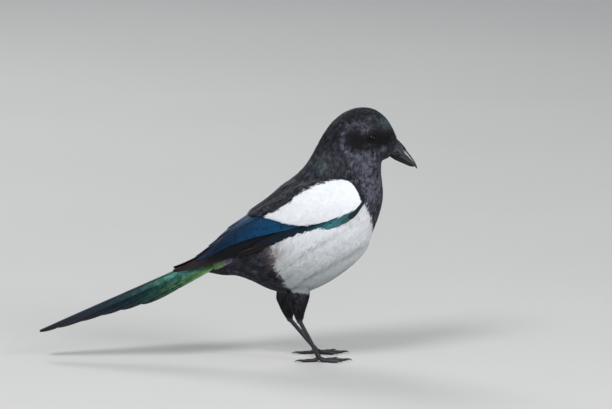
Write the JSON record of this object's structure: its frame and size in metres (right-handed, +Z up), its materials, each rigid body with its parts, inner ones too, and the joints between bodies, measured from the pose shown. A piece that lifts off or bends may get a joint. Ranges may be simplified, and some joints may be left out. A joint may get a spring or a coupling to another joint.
{
  "type": "eurasian magpie",
  "caption": "Standing black-and-white bird with folded glossy blue wings, a long stepped green tail, a stout black bill and thin legs.",
  "frame": {"origin": "on the floor under the middle of the bounding box", "axes": "+X the way the bird faces, from tail to bill; +Y its left side; +Z up"},
  "size_m": [0.3598, 0.0852, 0.2416],
  "materials": {
    "black_plumage": "soft black feathers with a faint blue sheen",
    "white_plumage": "matt white feathers",
    "blue_flight_feathers": "smooth feathers with a blue gloss",
    "dark_flight_feathers": "smooth near-black feathers",
    "green_tail_feathers": "smooth feathers with a green gloss",
    "bill_horn": "polished black horn",
    "leg_skin": "black scaly skin",
    "claw_horn": "satin black horn",
    "eye_gloss": "wet dark brown"
  },
  "bodies": {
    "root": {"bill_lower": "bill_horn", "bill_upper": "bill_horn", "claw_hind_left": "claw_horn", "claw_hind_right": "claw_horn", "claw_inner_left": "claw_horn", "claw_inner_right": "claw_horn", "claw_middle_left": "claw_horn", "claw_middle_right": "claw_horn", "claw_outer_left": "claw_horn", "claw_outer_right": "claw_horn", "eye_left": "eye_gloss", "eye_right": "eye_gloss", "foot_left": "leg_skin", "foot_right": "leg_skin", "head": "black_plumage", "neck": "black_plumage", "primaries_left": "dark_flight_feathers", "primaries_right": "dark_flight_feathers", "scapulars_left": "white_plumage", "scapulars_right": "white_plumage", "secondaries_left": "blue_flight_feathers", "secondaries_right": "blue_flight_feathers", "shank_left": "leg_skin", "shank_right": "leg_skin", "tail": "green_tail_feathers", "thigh_left": "black_plumage", "thigh_right": "black_plumage", "torso": "white_plumage", "undertail_coverts": "black_plumage", "vent": "black_plumage"}
  },
  "joints": []
}
